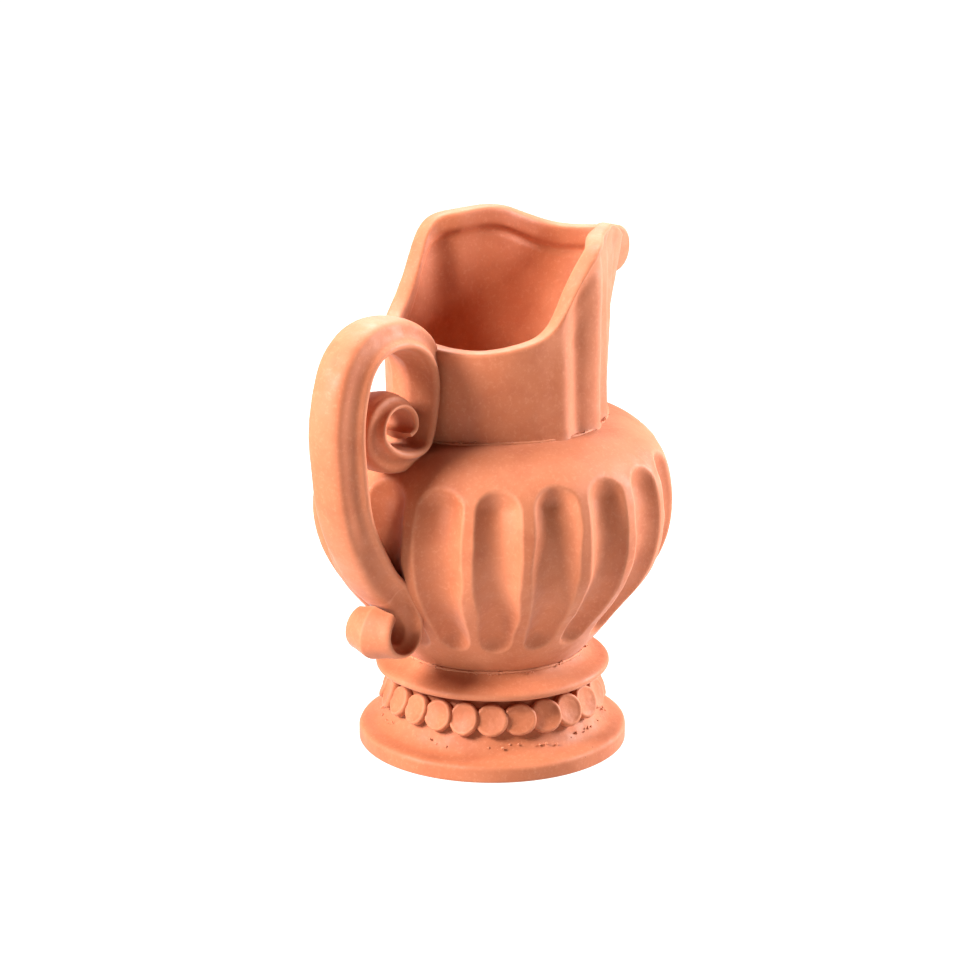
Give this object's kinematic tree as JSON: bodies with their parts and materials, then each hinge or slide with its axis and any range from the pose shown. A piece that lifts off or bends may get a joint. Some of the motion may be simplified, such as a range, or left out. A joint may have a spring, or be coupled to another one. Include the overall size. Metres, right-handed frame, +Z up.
{
  "type": "ceramic pitcher",
  "caption": "Unglazed terracotta pitcher with a fluted belly, a drawn-out spout, a scroll strap handle and a flared foot ringed with clay pellets.",
  "frame": {"origin": "centre of the foot's flat underside, on the axis of the foot and belly", "axes": "+Z up, +X towards the spout, -X towards the handle, Y across"},
  "size_m": [0.2702, 0.2032, 0.2981],
  "materials": {
    "terracotta": "unglazed, matt, fine-grained fired earthenware"
  },
  "bodies": {
    "root": {"foot_base": "terracotta", "collar_ring": "terracotta", "collar_slip_bead": "terracotta", "belly": "terracotta", "neck": "terracotta", "spout_scroll": "terracotta", "handle_strap": "terracotta", "handle_lower_volute": "terracotta", "pellet_01": "terracotta", "pellet_02": "terracotta", "pellet_03": "terracotta", "pellet_04": "terracotta", "pellet_05": "terracotta", "pellet_06": "terracotta", "pellet_07": "terracotta", "pellet_08": "terracotta", "pellet_09": "terracotta", "pellet_10": "terracotta", "pellet_11": "terracotta", "pellet_12": "terracotta", "pellet_13": "terracotta", "pellet_14": "terracotta", "pellet_15": "terracotta", "pellet_16": "terracotta", "pellet_17": "terracotta", "pellet_18": "terracotta", "pellet_19": "terracotta", "pellet_20": "terracotta", "pellet_21": "terracotta", "pellet_22": "terracotta", "pellet_23": "terracotta", "pellet_24": "terracotta"}
  },
  "joints": []
}
